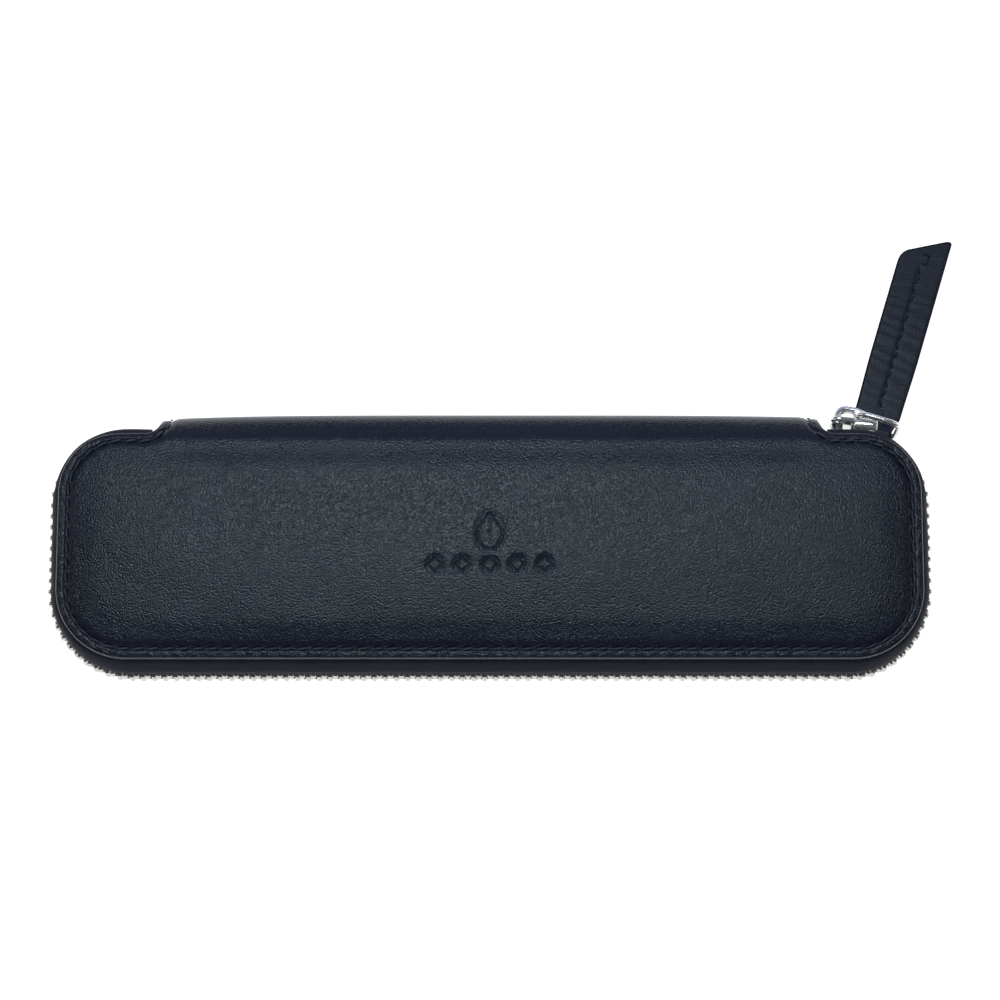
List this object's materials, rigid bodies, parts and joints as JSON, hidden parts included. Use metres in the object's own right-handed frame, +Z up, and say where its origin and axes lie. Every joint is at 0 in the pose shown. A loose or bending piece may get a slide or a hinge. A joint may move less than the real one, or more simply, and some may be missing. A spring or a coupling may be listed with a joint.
{
  "type": "pen case",
  "caption": "Zip-around padded leather pen case: two covers fold open on a stiffened spine, with pen loops inside and a strap pull on a ring.",
  "frame": {"origin": "centre of the lower cover's flat underside, on the table", "axes": "+X along the case towards the slider's end, +Y to the spine, +Z up"},
  "size_m": [0.193, 0.0975, 0.022],
  "materials": {
    "leather": "pebbled, semi-matt, very dark navy",
    "loop_leather": "smooth, matt, dark navy",
    "lining": "brushed suede-like fabric",
    "foam": "thin padding felt",
    "board": "stiffener board",
    "zip_tape": "woven tape",
    "nickel": "polished nickel"
  },
  "bodies": {
    "lower_case": {"lower_cover_leather": "leather", "lower_cover_padding": "foam", "lower_cover_board": "board", "lower_cover_lining": "lining", "lower_edge_roll": "leather", "lower_zip_tape": "zip_tape", "lower_zip_chain": "nickel", "lower_open_end_stop": "nickel", "closed_end_stop": "nickel", "pen_loops": "loop_leather"},
    "spine": {"spine_leather": "leather", "spine_board": "board", "spine_lining": "lining"},
    "upper_cover": {"upper_cover_leather": "leather", "upper_cover_padding": "foam", "upper_cover_board": "board", "upper_cover_lining": "lining", "upper_edge_roll": "leather", "upper_zip_tape": "zip_tape", "upper_zip_chain": "nickel", "upper_slip_pocket": "lining", "upper_open_end_stop": "nickel"},
    "slider": {"slider_body": "nickel", "slider_bridge": "nickel"},
    "ring": {"pull_ring": "nickel"},
    "strap": {"pull_strap": "leather"}
  },
  "joints": [
    {"name": "spine_fold", "type": "hinge", "parent": "lower_case", "child": "spine", "pos_m": [0, 0.02595, 0.00185], "axis": [-1, 0, 0], "range_deg": [0, 72]},
    {"name": "cover_fold", "type": "hinge", "parent": "spine", "child": "upper_cover", "pos_m": [0, 0.02595, 0.02015], "axis": [-1, 0, 0], "range_deg": [0, 108]},
    {"name": "slider_travel", "type": "hinge", "parent": "lower_case", "child": "slider", "pos_m": [0.075, 0.0091, 0.011], "axis": [0, 0, -1], "range_deg": [0, 82]},
    {"name": "ring_swing", "type": "hinge", "parent": "slider", "child": "ring", "pos_m": [0.07722, 0.02913, 0.0104], "axis": [0, 0, 1], "range_deg": [0, 45]},
    {"name": "strap_swing", "type": "hinge", "parent": "ring", "child": "strap", "pos_m": [0.08181, 0.02771, 0.0045], "axis": [0.9553, -0.2957, 0], "range_deg": [0, 57]}
  ],
  "couplings": [
    {"joint": "cover_fold", "follows": "spine_fold", "ratio": 1.5}
  ]
}
